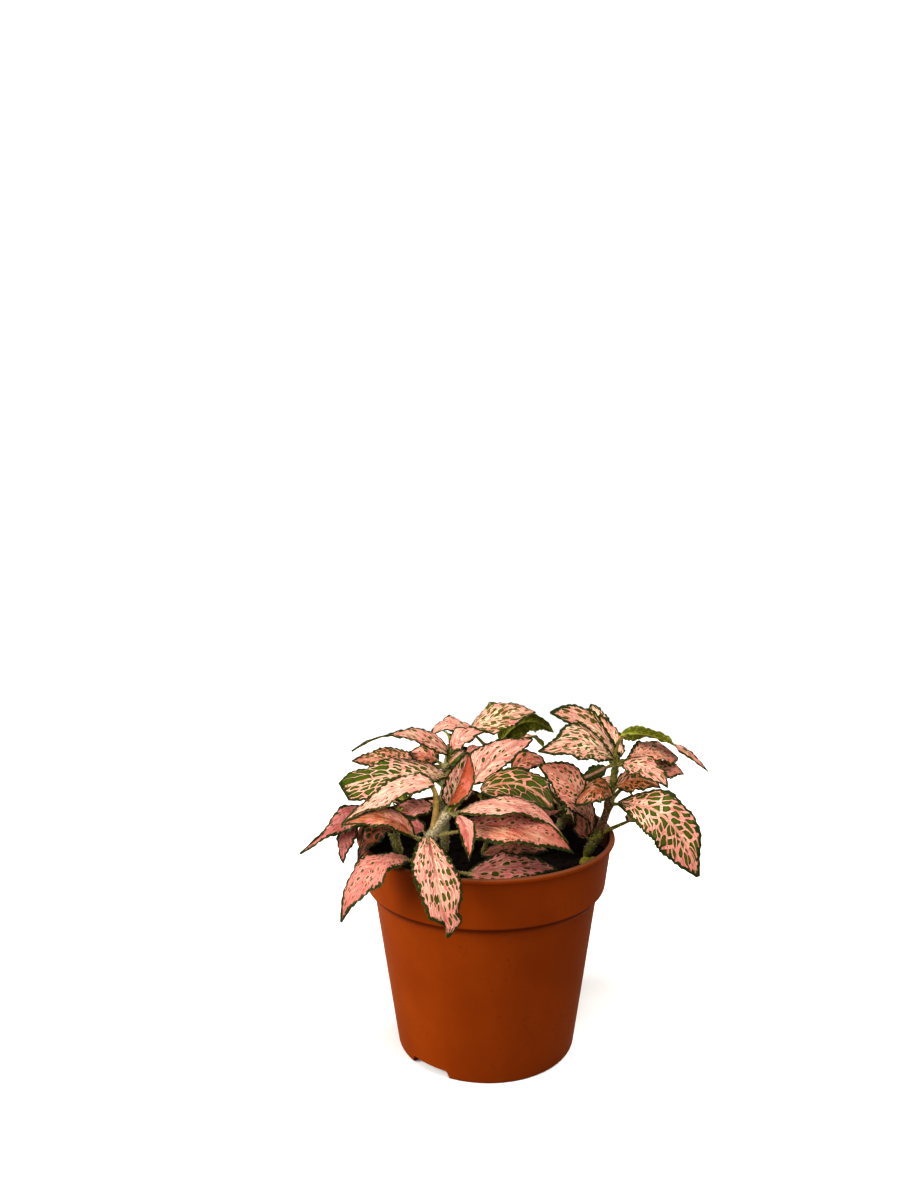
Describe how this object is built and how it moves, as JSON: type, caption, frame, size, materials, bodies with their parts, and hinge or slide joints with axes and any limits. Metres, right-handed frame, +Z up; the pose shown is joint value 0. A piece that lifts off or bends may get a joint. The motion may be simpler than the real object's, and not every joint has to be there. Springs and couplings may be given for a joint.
{
  "type": "potted nerve plant",
  "caption": "Pink-leaved nerve plant with arching veined leaves, growing in peat in a plain round terracotta-coloured plastic nursery pot.",
  "frame": {"origin": "middle of the flat land under the pot, on the pot's axis, level with the floor", "axes": "+Z up along the pot's axis, -Y towards the front with the hanging leaf, +X to its right"},
  "size_m": [0.1907, 0.1436, 0.1594],
  "materials": {
    "pot_plastic": "satin",
    "peat": "matte",
    "foliage": "satin",
    "dead_leaf": "matte"
  },
  "bodies": {
    "root": {"pot": "pot_plastic", "root_ball": "peat", "leafy_stem_front_left": "foliage", "leafy_stem_left": "foliage", "leafy_stem_middle_left": "foliage", "leafy_stem_centre": "foliage", "leafy_stem_right": "foliage", "leafy_stem_back_left": "foliage", "leafy_stem_back": "foliage", "leafy_stem_back_right": "foliage", "fallen_leaf": "dead_leaf"}
  },
  "joints": []
}
